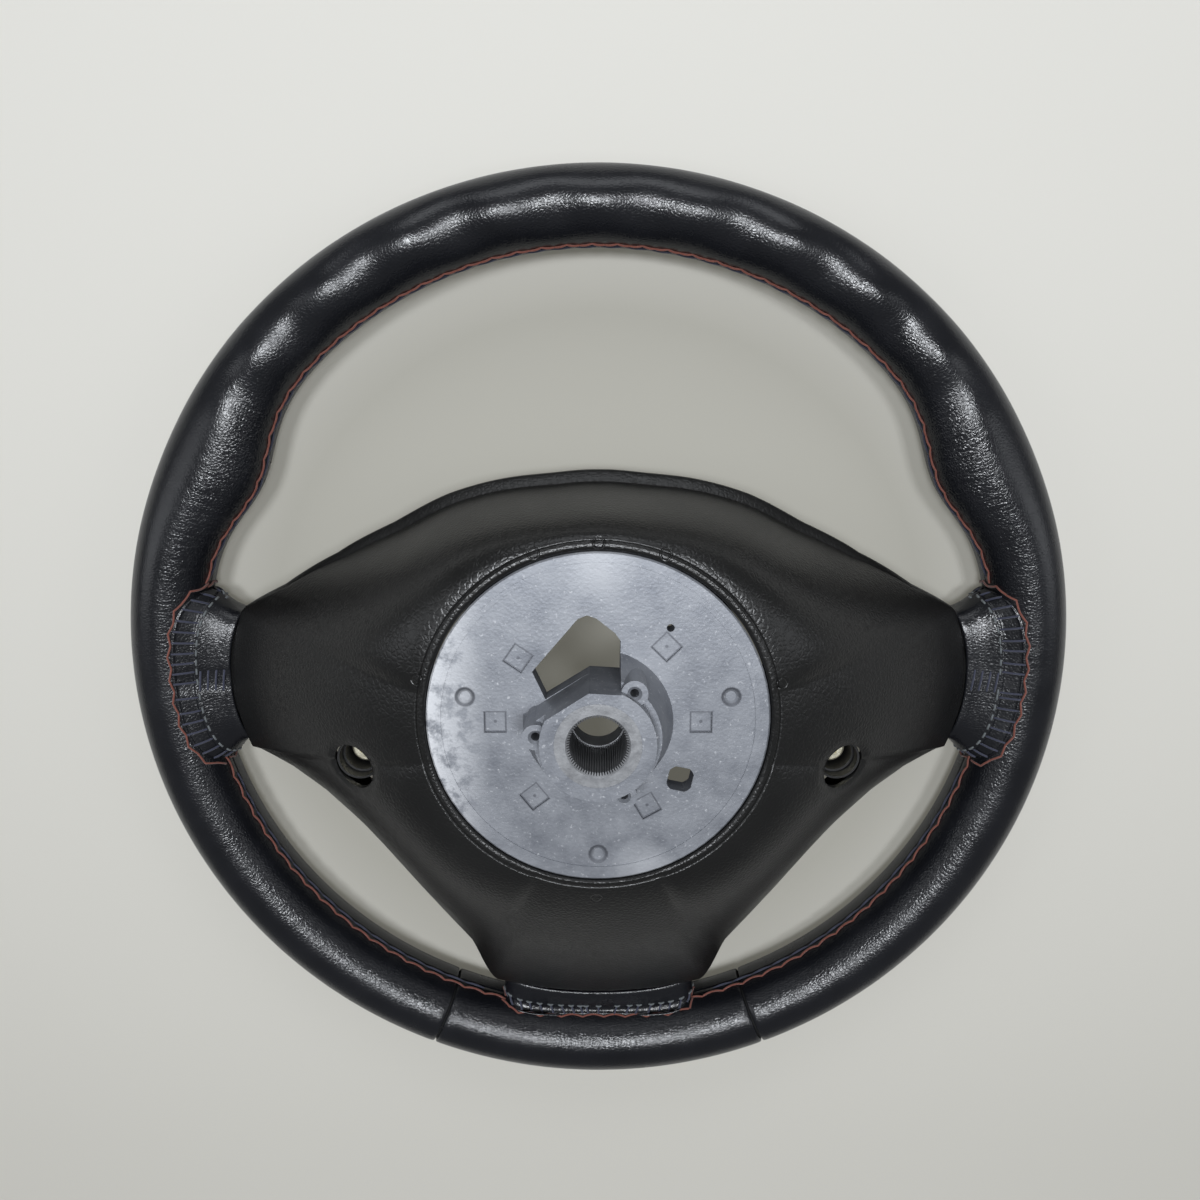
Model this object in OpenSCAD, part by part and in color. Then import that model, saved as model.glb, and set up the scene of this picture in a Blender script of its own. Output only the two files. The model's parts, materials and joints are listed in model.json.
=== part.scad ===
// Three spoke sports steering wheel with its airbag taken out.
// It lies front face down: +X right, +Y top of the wheel, +Z toward the column.

/* [Rim] */
// Outside diameter of the leather rim
rim_d = 380; // [360:1:400]
// Width of the rim section, seen along the axis
rim_w = 28.5; // [26:0.5:32]
// Thickness of the rim section along the axis
rim_t = 35; // [32:0.5:38]
// Extra width of the rim at each thumb rest
thumb_swell = 9; // [4:0.5:11]
// Angle from the top of the wheel to each thumb rest
thumb_angle = 62; // [56:1:66]
// Depth of the finger waves on the back of the upper rim
finger_depth = 1.1; // [0:0.1:1.6]
// Angle between two finger waves
finger_pitch = 11.6; // [10:0.2:14]
// Thickness of the leather
leather_t = 1.3; // [1:0.1:1.6]
// Width of the groove where two leathers meet
leather_gap = 0.8; // [0.5:0.1:1.2]
// Half angle of the bottom leather, from the bottom of the wheel
lower_half_angle = 23; // [21:1:27]
// Diameter of the cast ring inside the rim
core_d = 11; // [9:0.5:13]
// Diameter of the sewing thread
thread_d = 0.9; // [0.7:0.1:1.2]

/* [Hub] */
// Height of the hub face above the middle plane of the rim
dish = 76; // [68:1:82]
// Diameter of the bare hub face
face_d = 114.6; // [110:0.2:118]
// Thickness of the hub plate
plate_t = 8; // [6:0.5:10]
// Height of the boss over the hub face
boss_h = 22; // [18:0.5:26]
// Radius of the boss
boss_r = 18.3; // [17.6:0.1:19]
// Radius of the foot that carries the boss
foot_r = 25; // [24:0.5:26]
// Diameter of the splined bush
bush_d = 27.4; // [26.6:0.2:28]
// Small diameter of the splines
bore_d = 18; // [17:0.2:19]
// Depth of the splines
spline_h = 0.8; // [0.5:0.1:1]
// Number of splines
spline_count = 70; // [60:1:76]
// Length of the plain bore under the splines
pilot_l = 9; // [6:0.5:11]
// Diameter of the plain bore under the splines
pilot_d = 17.4; // [16.6:0.1:17.6]

/* [Column side fixings] */
// Radius of the circle of the three slip ring screw holes
ring_screw_r = 19.6; // [19.2:0.1:20]
// Angle of the first screw hole
ring_screw_a = 54.7; // [50:0.5:58]
// Diameter of the screw holes
ring_screw_d = 2.8; // [2.4:0.1:3.2]
// Depth of the screw holes
ring_screw_l = 14; // [10:1:16]
// Diameter of the pad round each screw hole
pad_d = 8.4; // [7.8:0.2:9]

/* [Airbag screws] */
// Distance of each airbag screw from the middle of the wheel, sideways
airbag_screw_x = 88; // [85:0.5:90]
// Distance of the airbag screws below the middle of the wheel
airbag_screw_y = 24; // [22:0.5:26]
// Thread diameter of the airbag screws
airbag_screw_d = 6; // [5:0.5:6.5]
// Length of the airbag screws under the head
airbag_screw_l = 34; // [30:1:38]
// Diameter of the screw heads
head_d = 10.5; // [10:0.1:11]
// Inside diameter of the black sleeves
well_d = 13; // [12.6:0.2:13.6]
// Wall of the black sleeves
sleeve_wall = 1.6; // [1.2:0.1:2]

/* [Shroud] */
// Wall of the moulded shroud
shroud_wall = 2.6; // [2:0.2:3.2]
// Length of the spoke root between each spoke cover and the rim
root_l = 13; // [11.5:0.5:15.5]
// Height of the parting edge above the front plane
edge_z = 25; // [22:1:28]
// Height of the front edge of the shroud above the front plane
front_z = 5; // [3:0.5:8]
// Width of the brim along the upper edge of the shroud
brim_w = 4.6; // [2:0.2:5.6]
// Gap between the shroud and the hub face
face_gap = 0.6; // [0.4:0.1:1]

/* [Hidden] */
fit = 0.3; // clearance of pieces that slide in each other
through = 300; // more than the depth of the wheel
rim_r = rim_d / 2 - rim_w / 2; // middle circle of the rim
spoke_end = rim_d / 2 - rim_w - root_l; // end of each spoke cover
mid_z = rim_t / 2; // middle plane of the rim
face_z = mid_z + dish; // bare hub face
boss_z = face_z + boss_h; // end of the boss
plate_z = face_z - plate_t; // front of the hub plate
plate_r = face_d / 2;
core_z = mid_z - 1;
side_half = 11; // half width of a side arm
bottom_half = 8; // half width of each bottom arm
bottom_arm_x = 19; // the bottom spoke has two arms
bush_z = plate_z - 2; // front end of the bush
flat_y = 17.1; // flat walls beside the window
flat_slope = 0.65;
window_x = 7.8;
pad_drop = 3; // pads lie under the boss end
pocket_r = 34.2;
pocket_w = 7.2;
pocket_depth = 0.8;
arm_x0 = 40; // where the arms leave the plate
arm_x1 = 62; // where the arms turn down
arm_x2 = spoke_end - 10; // where the arms turn out toward the rim
knee_set = 6; // the under side of an arm turns this far before its top
knee_top = face_z - 9;
knee_low = plate_z - 14;
bend_top = edge_z - 5;
bend_low = front_z + 4;
arm_y = 2;
arm_gap = 1; // clearance of the arms in the end walls of the shroud
clasp_wall = 4; // wall of each arm round the rim core
ear_z = mid_z + 28; // seat of the airbag screws
ear_t = 6;
ear_half = 7;
ear_rib = 3; // wall that joins each ear to the side arm
ear_link = airbag_screw_y - side_half + arm_y + ear_rib;
head_z = ear_z + 5;
head_h = 5;
lobe_w = 1.7;
clip_t = 1;
clip_z = ear_z - ear_t - clip_t - 0.1;
sleeve_l = 20;
root_round = 6;
side_mid_y = -6; // middle of the side spokes
side_high = 54; // width of the side spokes at the rim
bottom_wide = 82; // width of the bottom spoke at the rim
seam_in = 13; // angle of the seam round the rim section
brim_rise = 3; // the skin meets the brim this far over its edge

function mix(a, b, s) = a + (b - a) * s;
function soft(s) = s * s * (3 - 2 * s);
function turned(a, r, z) = [r * cos(a), r * sin(a), z];
function from_top(a) = abs((a - 90 + 540) % 360 - 180);
function bell(x, w) = exp(-x * x / (2 * w * w));
// Extra width on the inner side of the rim at an angle
function swell(a) = thumb_swell * bell(from_top(a) - thumb_angle, 6.5);
// The back of the upper rim is waved for the fingers
function waves(a) = let (t = from_top(a))
    t > 56 ? 0 : finger_depth * (0.5 - 0.5 * cos(360 * t / finger_pitch)) * min(1, (56 - t) / 8);
// Point on the rim section at a wheel angle and a section angle, sunk by a depth
function rim_point(a, b, sink) = let (
        half = (rim_w + swell(a)) / 2,
        mid = rim_d / 2 - half,
        high = mid_z - waves(a) * max(0, sin(b)) * max(0, 0.6 - 0.4 * cos(b)),
        square = 0.05 * pow(sin(2 * b), 2)
    ) turned(a, mid + (half - sink) * (1 + square) * cos(b),
        mid_z + (high - sink) * (1 + square) * (1 - square) * sin(b));

section_n = 16;
upper_steps = 58;
lower_steps = 9;
gap_a = leather_gap / rim_r * 180 / PI;
// Angles from one value to another in even steps
function spread(from, to, steps) = [for (s = [0:steps]) mix(from, to, s / steps)];
upper_angles = spread(-90 + lower_half_angle, 270 - lower_half_angle, upper_steps);
lower_angles = spread(270 - lower_half_angle + gap_a, 270 + lower_half_angle - gap_a, lower_steps);
all_angles = concat(upper_angles, lower_angles);
function ring_points(a, sink) = [for (k = [0:section_n - 1]) rim_point(a, 360 * k / section_n, sink)];

// Faces that join ring i to ring j of n points each
function belt(i, j, n, flip) = [for (k = [0:n - 1]) let (m = (k + 1) % n)
    each (flip ? [[i + k, j + k, j + m], [i + k, j + m, i + m]]
        : [[i + k, j + m, j + k], [i + k, i + m, j + m]])];

// Closed ring round the whole wheel
module rim_body(sink) {
    n = section_n;
    steps = len(all_angles);
    points = [for (a = all_angles) each ring_points(a, sink)];
    faces = [for (s = [0:steps - 1]) each belt(s * n, ((s + 1) % steps) * n, n, false)];
    polyhedron(points, faces, convexity = 8);
}

// Leather tube along a list of angles with an open inside
module leather_tube(angles) {
    n = section_n;
    steps = len(angles) - 1;
    rings = steps + 1;
    outer = [for (a = angles) each ring_points(a, 0)];
    inner = [for (a = angles) each ring_points(a, leather_t)];
    shift = rings * n;
    faces = concat(
        [for (s = [0:steps - 1]) each belt(s * n, (s + 1) * n, n, false)],
        [for (s = [0:steps - 1]) each belt(shift + s * n, shift + (s + 1) * n, n, true)],
        belt(0, shift, n, true),
        belt(steps * n, shift + steps * n, n, false)
    );
    polyhedron(concat(outer, inner), faces, convexity = 8);
}

function unit(v) = v / norm(v);

// Round thread along a closed list of points
module thread(path) {
    n = 6;
    count = len(path);
    points = [for (i = [0:count - 1]) let (
            run = unit(path[(i + 1) % count] - path[(i + count - 1) % count]),
            side = unit(cross(run, [0, 0, 1])),
            up = cross(side, run)
        ) each [for (k = [0:n - 1]) let (b = 360 * k / n)
            path[i] + thread_d / 2 * (cos(b) * side + sin(b) * up)]];
    faces = [for (s = [0:count - 1]) each belt(s * n, ((s + 1) % count) * n, n, false)];
    polyhedron(points, faces, convexity = 8);
}

// Outline of the shroud: angle from the top of the wheel and distance from the axis
outline = [
    [0, 78.5], [14, 79.5], [27, 84], [40, 90.5], [54, 99], [66, 113], [75, 130], [81, 147], [84, 158],
    [101, 158], [105, 144], [109, 134], [115, 126], [124, 120.5], [134, 120.5], [146, 126], [156, 135],
    [163, 150]
];
function side_end(t) = spoke_end / max(0.01, sin(t));
function low_end(t) = spoke_end / max(0.01, -cos(t));
function curve(p0, p1, p2, p3, u) = 0.5 * (2 * p1 + (p2 - p0) * u
    + (2 * p0 - 5 * p1 + 4 * p2 - p3) * u * u + (3 * p1 - p0 - 3 * p2 + p3) * u * u * u);
function near(i) = outline[max(0, min(len(outline) - 1, i))];
function along_outline(t) = let (
        i = max([for (k = [0:len(outline) - 2]) if (outline[k][0] <= t) k]),
        share = (t - near(i)[0]) / (near(i + 1)[0] - near(i)[0])
    ) curve(near(i - 1)[1], near(i)[1], near(i + 1)[1], near(i + 2)[1], share);
// The outline is open where it meets the ends of the spokes
function in_spoke(t) = t > 163 || (t > 84 && t < 101);
function shroud_r(t) = min(side_end(t), low_end(t), in_spoke(t) ? rim_d : along_outline(t));
// How far a direction points along a spoke, from 0 to 1
function along(t) = min(1, max(0, (shroud_r(t) - 84) / 60));

shroud_steps = [0, 0.08, 0.2, 0.36, 0.54, 0.72, 0.87, 0.96, 1];
function lip_r() = plate_r + face_gap;
// Height of the shroud skin at a share of the way out
function skin_z(t, s) = mix(edge_z + brim_rise, face_z + 0.5, 1 - pow(s, mix(2.6, 1.25, along(t))));
function skin_r(t, s) = mix(lip_r(), shroud_r(t) - brim(t), mix(pow(s, 0.8), s, along(t)));
// The brim fades out toward the side spokes
function brim(t) = mix(brim_w, 0.8, soft(min(1, max(0, (t - 60) / 22))));

shroud_rays = 96;
// One ray of the shroud from the lip to its front edge, as radius and height, sunk by the wall
function shroud_ray(t, wall) = concat(
    [for (s = shroud_steps) [skin_r(t, s) - wall * min(1, max(0, (s - 0.3) * 2)), skin_z(t, s) - wall]],
    [[shroud_r(t) - wall, edge_z - wall / 2], [shroud_r(t) - 1.5 - wall, (edge_z + front_z) / 2]],
    [[shroud_r(t) - 4 - wall, front_z]]
);

function shroud_skin(wall) = [for (i = [0:shroud_rays - 1]) let (a = 360 * i / shroud_rays)
    each [for (p = shroud_ray(from_top(a + 0.01), wall)) turned(a, p[0], p[1])]];
// Number of a point of the shell, where a ring of points runs from the lip to the front edge
function shell_point(layer, i, k) = layer * shroud_rays * ray_n + (i % shroud_rays) * ray_n + k;
// Two triangles between two rays, from point k to another point
function shell_pair(i, first, k, second, m) = [
    [shell_point(first, i, k), shell_point(first, i + 1, k), shell_point(second, i + 1, m)],
    [shell_point(first, i, k), shell_point(second, i + 1, m), shell_point(second, i, m)]
];

ray_n = len(shroud_steps) + 3;
module shroud_shell() {
    rays = [0:shroud_rays - 1];
    faces = concat(
        [for (i = rays, k = [0:ray_n - 2]) each shell_pair(i, 0, k, 0, k + 1)],
        [for (i = rays, k = [0:ray_n - 2]) each shell_pair(i, 1, k + 1, 1, k)],
        [for (i = rays) each shell_pair(i, 1, 0, 0, 0)],
        [for (i = rays) each shell_pair(i, 0, ray_n - 1, 1, ray_n - 1)]
    );
    polyhedron(concat(shroud_skin(0), shroud_skin(shroud_wall)), faces, convexity = 12);
}

// Everything below the flat walls on the window side of the boss
module below_flats() {
    linear_extrude(through) polygon([
        [-60, -60], [60, -60], [60, 60], [window_x, 60], [window_x - 0.6, flat_y - 0.6],
        [-2.8, flat_y], [-60, flat_y - 57.2 * flat_slope]
    ]);
}

module pad_hole(i) {
    rotate(ring_screw_a + 120 * i) translate([ring_screw_r, 0, 0]) children();
}

module boss() {
    intersection() {
        union() {
            translate([0, 0, plate_z]) cylinder(h = plate_t, r = foot_r);
            translate([0, 0, face_z]) cylinder(h = boss_h * 0.72, r1 = foot_r, r2 = boss_r + 2);
            translate([0, 0, plate_z]) cylinder(h = boss_z - plate_z, r = boss_r);
        }
        below_flats();
    }
    for (i = [0:2]) pad_hole(i) translate([0, 0, plate_z])
        cylinder(h = boss_z - pad_drop - plate_z, d = pad_d);
}

// Opening in the hub plate beside the boss
module window() {
    linear_extrude(through) polygon([
        [-21.7, 17.4], [-17.4, 7.9], [-2.8, flat_y], [window_x - 0.6, flat_y - 0.6],
        [window_x, 27.2], [5.6, 30.4], [-0.6, 35.4], [-3.6, 36.4], [-6.6, 35.2]
    ]);
}

// Square inspection pockets: angle from the right, and turn of the square
pockets = [[0, 0], [49, 45], [140, 55], [180, 0], [231, 38], [299, 30]];
module face_marks() {
    for (p = pockets) rotate(p[0]) translate([pocket_r, 0, face_z - pocket_depth])
        rotate(p[1] - p[0]) translate([-pocket_w / 2, -pocket_w / 2, 0]) cube([pocket_w, pocket_w, 5]);
    for (p = [[44, 8.8], [-44, 8.8], [0, -47.6]]) translate([p[0], p[1], face_z - 1])
        cylinder(h = 5, r1 = 1.7, r2 = 9.5);
}

module hub_holes() {
    translate([23.6, 32.2, 0]) cylinder(h = through, d = 2.6);
    translate([21, -13.5, face_z + 2]) cylinder(h = through, d = 3);
    translate([27.6, -20.2, 0]) intersection() {
        cylinder(h = through, d = 9.6);
        rotate(-12) translate([-4.2, -4.2, 0]) cube([8.4, 8.4, through]);
    }
    for (i = [0:2]) pad_hole(i) translate([0, 0, boss_z - pad_drop - ring_screw_l])
        cylinder(h = through, d = ring_screw_d);
    for (i = [0:2]) pad_hole(i) translate([0, 0, boss_z - pad_drop - 0.9])
        cylinder(h = 2.4, r1 = ring_screw_d / 2, r2 = 3.9);
}

// Side view of an arm, from the hub plate down to the ring in the rim
module arm_profile() {
    polygon([
        [arm_x0, face_z - 2.5], [arm_x1, knee_top], [arm_x2, bend_top], [rim_r, core_z + 4],
        [rim_r, core_z - 4], [arm_x2 - knee_set, bend_low], [arm_x1 - knee_set, knee_low], [arm_x0, plate_z - 6]
    ]);
}

// Height of the middle of an arm at a distance from the axis
function arm_mid(x) = mix(knee_top + knee_low, bend_top + bend_low,
    (x - arm_x1 + knee_set / 2) / (arm_x2 - arm_x1)) / 2;

// Arm drawn pointing right, set off sideways by y, with its clasp round the rim core
module arm(half, y) {
    translate([0, y + half, 0]) rotate([90, 0, 0]) linear_extrude(2 * half) arm_profile();
    rotate(asin(y / rim_r)) translate([rim_r, half, core_z]) rotate([90, 0, 0])
        cylinder(h = 2 * half, d = core_d + 2 * clasp_wall);
}

module arms() {
    arm(side_half, arm_y);
    mirror([1, 0, 0]) arm(side_half, arm_y);
    for (y = [-bottom_arm_x, bottom_arm_x]) rotate(-90) arm(bottom_half, y);
}

// Opening in the end wall of the shroud round one arm, drawn pointing right
module arm_slot(half, y) {
    low = front_z - 1;
    translate([spoke_end - 9, y - half - arm_gap, low])
        cube([10, 2 * (half + arm_gap), core_z + 4 + arm_gap - low]);
}

module arm_slots() {
    arm_slot(side_half, arm_y);
    mirror([1, 0, 0]) arm_slot(side_half, arm_y);
    for (y = [-bottom_arm_x, bottom_arm_x]) rotate(-90) arm_slot(bottom_half, y);
}

module rim_core() {
    color([0.45, 0.46, 0.48]) translate([0, 0, core_z])
        rotate_extrude($fn = 96) translate([rim_r, 0]) circle(d = core_d, $fn = 24);
}

module at_screw(side) {
    translate([side * airbag_screw_x, -airbag_screw_y, 0]) children();
}

// Ear of the casting that holds one airbag screw
module screw_ear(side) {
    at_screw(side) translate([0, 0, ear_z - ear_t]) cylinder(h = ear_t, d = well_d + 2 * sleeve_wall + 1);
    at_screw(side) translate([-ear_half, 0, ear_z - ear_t]) cube([2 * ear_half, ear_link, ear_t]);
    at_screw(side) translate([-ear_half, ear_link - ear_rib, ear_z - ear_t])
        cube([2 * ear_half, ear_rib, arm_mid(airbag_screw_x) - ear_z + ear_t]);
}

module armature() {
    color([0.62, 0.64, 0.68]) difference() {
        union() {
            translate([0, 0, plate_z]) cylinder(h = plate_t - 0.6, r = plate_r, $fn = 96);
            translate([0, 0, face_z - 0.6]) cylinder(h = 0.6, r1 = plate_r, r2 = plate_r - 0.6, $fn = 96);
            translate([0, 0, face_z]) difference() {
                cylinder(h = 0.35, r = plate_r - 3.4, $fn = 96);
                translate([0, 0, -1]) cylinder(h = 3, r = plate_r - 5, $fn = 96);
            }
            boss();
            arms();
            for (side = [-1, 1]) screw_ear(side);
        }
        rim_core();
        difference() {
            window();
            below_flats();
        }
        face_marks();
        hub_holes();
        translate([0, 0, bush_z]) cylinder(h = through, d = bush_d, $fn = 64);
        for (side = [-1, 1]) at_screw(side) cylinder(h = through, d = airbag_screw_d + 2 * fit);
    }
}

// Straight toothed bore, as an outline
module spline_outline() {
    polygon([for (k = [0:spline_count - 1], c = [0:3]) let (
        a = 360 * (k + [-0.36, -0.16, 0.16, 0.36][c]) / spline_count,
        r = bore_d / 2 + (c == 1 || c == 2 ? spline_h : -0.2)
    ) [r * cos(a), r * sin(a)]]);
}

module splined_bush() {
    color([0.55, 0.52, 0.5]) difference() {
        translate([0, 0, bush_z]) cylinder(h = boss_z - bush_z, d = bush_d, $fn = 64);
        translate([0, 0, bush_z - 1]) cylinder(h = through, d = pilot_d, $fn = 64);
        translate([0, 0, bush_z + pilot_l]) cylinder(h = through, d = bore_d, $fn = 64);
        translate([0, 0, bush_z + pilot_l]) linear_extrude(through) spline_outline();
        translate([0, 0, boss_z - 1.2])
            cylinder(h = 1.3, r1 = bore_d / 2 - 0.1, r2 = bore_d / 2 + 1.3, $fn = 64);
    }
}

// Spoke root between the shroud and the rim, drawn pointing right
module root_block(wide, y, grow) {
    hull() {
        translate([spoke_end + leather_gap, y, 0])
            root_section(wide - 3, front_z + 3 - grow, edge_z - 1 + grow, grow);
        translate([rim_r - 11, y, 0]) root_section(wide + 7, front_z - 0.5 - grow, edge_z + 3 + grow, grow);
    }
}

module root_section(wide, low, high, grow) {
    translate([0, 0, low]) for (side = [-1, 1], z = [root_round, high - low - root_round])
        translate([0, side * (wide / 2 + grow - root_round), z]) rotate([0, 90, 0])
            cylinder(h = 0.2, r = root_round, $fn = 16);
}

module root_left(grow) { mirror([1, 0, 0]) root_block(side_high, side_mid_y, grow); }
module root_right(grow) { root_block(side_high, side_mid_y, grow); }
module root_bottom(grow) { rotate(-90) root_block(bottom_wide, 0, grow); }
module all_roots(grow) {
    root_left(grow);
    root_right(grow);
    root_bottom(grow);
}

module rim_foam() {
    color([0.25, 0.25, 0.25]) difference() {
        union() {
            rim_body(leather_t);
            all_roots(0);
        }
        rim_core();
        arms();
    }
}

module leather_upper() {
    color([0.09, 0.09, 0.1]) difference() {
        leather_tube(upper_angles);
        root_left(0);
        root_right(0);
    }
}

module leather_lower() {
    color([0.09, 0.09, 0.1]) difference() {
        leather_tube(lower_angles);
        root_bottom(0);
    }
}

module collar() {
    color([0.1, 0.1, 0.1]) difference() {
        children(0);
        children(1);
        rim_body(0);
    }
}

module collar_left() { collar() { root_left(leather_t); root_left(0); } }
module collar_right() { collar() { root_right(leather_t); root_right(0); } }
module collar_bottom() { collar() { root_bottom(leather_t); root_bottom(0); } }

module rear_shroud() {
    color([0.08, 0.08, 0.09]) difference() {
        shroud_shell();
        arm_slots();
        for (side = [-1, 1]) at_screw(side) translate([0, 0, ear_z])
            cylinder(h = through, d = well_d + 2 * (sleeve_wall + fit), $fn = 48);
    }
}

module screw_sleeve(side) {
    color([0.12, 0.12, 0.12]) at_screw(side) translate([0, 0, ear_z]) difference() {
        cylinder(h = sleeve_l, d = well_d + 2 * sleeve_wall);
        translate([0, 0, 1.5]) cylinder(h = through, d = well_d);
        translate([0, 0, -1]) cylinder(h = through, d = head_d - 1.5);
        translate([0, 0, sleeve_l - 5]) cylinder(h = through, d = well_d + sleeve_wall);
    }
}

// Six lobed recess of the screw head
module lobe_recess() {
    for (k = [0:2]) rotate(60 * k) translate([-lobe_w / 2, -head_d * 0.27, 0])
        cube([lobe_w, head_d * 0.54, 10]);
    cylinder(h = 10, r = head_d * 0.2, $fn = 24);
}

module airbag_screw(side) {
    color([0.68, 0.62, 0.36]) at_screw(side) difference() {
        union() {
            translate([0, 0, head_z - airbag_screw_l])
                cylinder(h = airbag_screw_l, d = airbag_screw_d, $fn = 32);
            translate([0, 0, head_z]) cylinder(h = head_h - 0.8, d = head_d, $fn = 48);
            translate([0, 0, head_z + head_h - 0.8])
                cylinder(h = 0.8, d1 = head_d, d2 = head_d - 1.6, $fn = 48);
        }
        translate([0, 0, head_z + head_h - 2.6]) lobe_recess();
        translate([0, 0, clip_z]) difference() {
            cylinder(h = clip_t, d = airbag_screw_d + 4);
            cylinder(h = clip_t, d = airbag_screw_d - 1.2);
        }
    }
}

// Coil that lifts the screw off its ear
module screw_spring(side) {
    turns = 3;
    n = 6;
    step = 18;
    wire = 0.9;
    r = airbag_screw_d / 2 + fit + wire / 2 + 0.15;
    rise = head_z - ear_z - wire;
    rings = turns * step;
    points = [for (i = [0:rings]) let (a = 360 * i / step, z = wire / 2 + rise * soft(i / rings))
        each [for (k = [0:n - 1]) let (b = 360 * k / n)
            turned(a, r + wire / 2 * cos(b), z + wire / 2 * sin(b))]];
    faces = concat(
        [for (s = [0:rings - 1]) each belt(s * n, (s + 1) * n, n, false)],
        [[for (k = [n - 1:-1:0]) k], [for (k = [0:n - 1]) rings * n + k]]
    );
    color([0.6, 0.6, 0.62]) at_screw(side) translate([0, 0, ear_z])
        polyhedron(points, faces, convexity = 8);
}

module screw_clip(side) {
    color([0.3, 0.3, 0.32]) at_screw(side) translate([0, 0, clip_z]) difference() {
        cylinder(h = clip_t, d = airbag_screw_d + 4, $fn = 32);
        translate([0, 0, -1]) cylinder(h = 5, d = airbag_screw_d - 1.2, $fn = 32);
        translate([0, -1.6, -1]) cube([20, 3.2, 5]);
    }
}

// Thread on the inner back edge of the rim, in three runs between the spokes
module rim_thread() {
    color([0.5, 0.18, 0.13]) difference() {
        thread([for (a = all_angles) rim_point(a, 180 - seam_in, -thread_d / 2 - 0.1)]);
        all_roots(leather_t + fit);
    }
}

armature();
rim_core();
splined_bush();
rim_foam();
rear_shroud();
leather_upper();
leather_lower();
collar_left();
collar_right();
collar_bottom();
rim_thread();
screw_sleeve(-1);  // screw_sleeve_left
screw_sleeve(1);  // screw_sleeve_right
airbag_screw(-1);  // airbag_screw_left
airbag_screw(1);  // airbag_screw_right
screw_spring(-1);  // screw_spring_left
screw_spring(1);  // screw_spring_right
screw_clip(-1);  // screw_clip_left
screw_clip(1);  // screw_clip_right
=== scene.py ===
import json
import math
import bpy
import bmesh
from mathutils import Vector, Matrix

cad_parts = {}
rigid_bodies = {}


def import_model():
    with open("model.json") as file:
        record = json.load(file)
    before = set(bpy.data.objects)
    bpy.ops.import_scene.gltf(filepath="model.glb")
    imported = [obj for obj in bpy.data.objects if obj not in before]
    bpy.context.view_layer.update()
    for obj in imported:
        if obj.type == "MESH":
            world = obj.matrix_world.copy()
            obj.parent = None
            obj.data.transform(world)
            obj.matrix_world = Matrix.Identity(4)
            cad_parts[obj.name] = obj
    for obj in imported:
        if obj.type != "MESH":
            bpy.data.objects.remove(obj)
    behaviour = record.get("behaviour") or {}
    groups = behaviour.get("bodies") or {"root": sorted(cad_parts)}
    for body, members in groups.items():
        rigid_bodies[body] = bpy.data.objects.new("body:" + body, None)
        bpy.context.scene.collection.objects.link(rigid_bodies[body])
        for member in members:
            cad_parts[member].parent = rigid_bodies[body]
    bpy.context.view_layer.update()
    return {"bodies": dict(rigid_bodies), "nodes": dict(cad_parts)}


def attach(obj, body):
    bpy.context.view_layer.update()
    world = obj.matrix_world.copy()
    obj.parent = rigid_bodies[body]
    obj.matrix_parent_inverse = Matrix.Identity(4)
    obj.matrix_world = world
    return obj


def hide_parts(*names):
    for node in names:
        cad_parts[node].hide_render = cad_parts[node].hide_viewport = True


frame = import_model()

mm = 0.001
body = list(frame["bodies"])[0]

# measures of the wheel, close to the part's own: the finger waves are deeper here, and the rim keeps inside
# the facets of the part
wheel = {
    "rimDiameter": 379.6 * mm, "rimWidth": 28.5 * mm, "rimHeight": 35 * mm,
    "thumbSwell": 9 * mm, "thumbAngle": 62.0, "thumbSpread": 6.5,
    "fingerDepth": 3.3 * mm, "fingerPitch": 11.6, "fingerEnd": 56.0, "fingerFade": 8.0,
    "lowerHalfAngle": 23.0, "grooveWidth": 0.8 * mm, "squareness": 0.05,
    "dish": 76 * mm, "faceDiameter": 114.6 * mm, "faceGap": 0.3 * mm, "lipRise": 0.5 * mm,
    "spokeEnd": 148.5 * mm, "edgeHeight": 25 * mm, "frontHeight": 5 * mm, "shroudWall": 2.6 * mm,
    "screwX": 88 * mm, "screwY": 24 * mm, "earHeight": 45.5 * mm, "wellWidth": 16.8 * mm,
    "sideMiddle": -6 * mm, "sideWide": 54 * mm, "bottomWide": 82 * mm,
    "brimWidth": 4.6 * mm, "brimLeast": 0.8 * mm, "brimRise": 3 * mm, "spokeBow": 5 * mm,
}
midHeight = wheel["rimHeight"] / 2
faceHeight = midHeight + wheel["dish"]
lipRadius = wheel["faceDiameter"] / 2 + wheel["faceGap"]


# small helpers
def meshObject(name, points, faces):
    mesh = bpy.data.meshes.new(name)
    mesh.from_pydata([tuple(p) for p in points], [], faces)
    mesh.update()
    mesh.polygons.foreach_set("use_smooth", [True] * len(mesh.polygons))
    piece = bpy.data.objects.new(name, mesh)
    bpy.context.scene.collection.objects.link(piece)
    return piece


def gridFaces(rows, cols, closeRows=False, closeCols=False):
    faces = []
    for i in range(rows if closeRows else rows - 1):
        for k in range(cols if closeCols else cols - 1):
            i2, k2 = (i + 1) % rows, (k + 1) % cols
            faces.append((i * cols + k, i2 * cols + k, i2 * cols + k2, i * cols + k2))
    return faces


def outward(piece):
    shape = bmesh.new()
    shape.from_mesh(piece.data)
    bmesh.ops.recalc_face_normals(shape, faces=shape.faces)
    shape.to_mesh(piece.data)
    shape.free()


def plainMesh(piece):
    graph = bpy.context.evaluated_depsgraph_get()
    mesh = bpy.data.meshes.new_from_object(piece.evaluated_get(graph))
    piece.modifiers.clear()
    piece.data = mesh
    return piece


def surfaceMap(piece, uvs):
    layer = piece.data.uv_layers.new(name="surface")
    for loop in piece.data.loops:
        layer.data[loop.index].uv = uvs[loop.vertex_index]


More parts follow.
